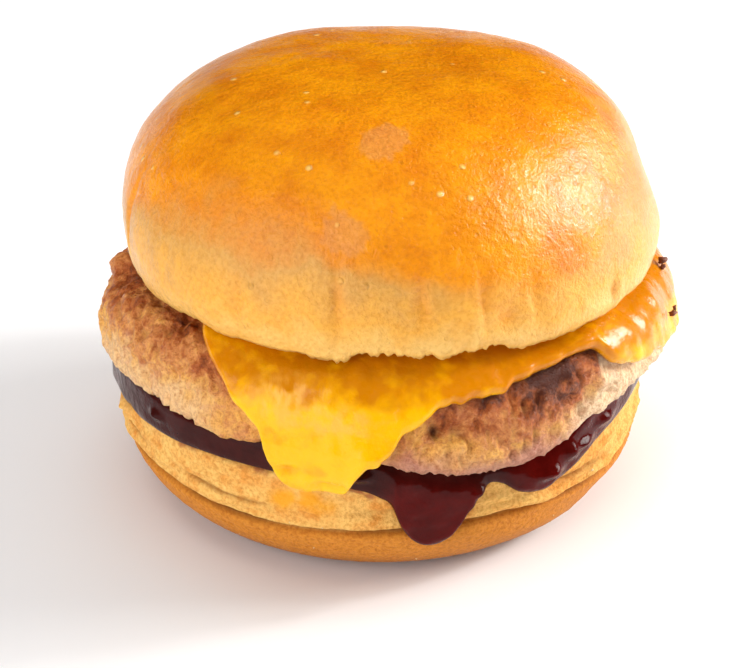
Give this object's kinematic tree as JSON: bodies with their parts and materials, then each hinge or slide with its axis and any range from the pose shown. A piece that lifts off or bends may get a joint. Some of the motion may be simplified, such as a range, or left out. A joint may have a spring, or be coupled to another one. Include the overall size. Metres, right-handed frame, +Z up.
{
  "type": "cheeseburger",
  "caption": "Burger in a round glazed bun: beef patty, melted cheese slice running down the front, and dark sauce dripping over the lower half.",
  "frame": {"origin": "middle of the flat underside of the lower half of the bun, on the surface it stands on", "axes": "+Z up through the stack, -Y towards the side where the cheese and the sauce run down, +X to that side's right"},
  "size_m": [0.1143, 0.1156, 0.0848],
  "materials": {
    "bread": "soft porous bread with a browned underside, matt",
    "sauce": "thick dark red sauce, wet and glossy",
    "meat": "griddled minced meat, browned and slightly greasy",
    "cheese": "melted yellow cheese, smooth and glossy",
    "crust": "egg-washed golden brown crust with a soft sheen"
  },
  "bodies": {
    "root": {"bottom_bun": "bread", "sauce": "sauce", "patty": "meat", "cheese": "cheese", "top_bun": "crust"}
  },
  "joints": []
}
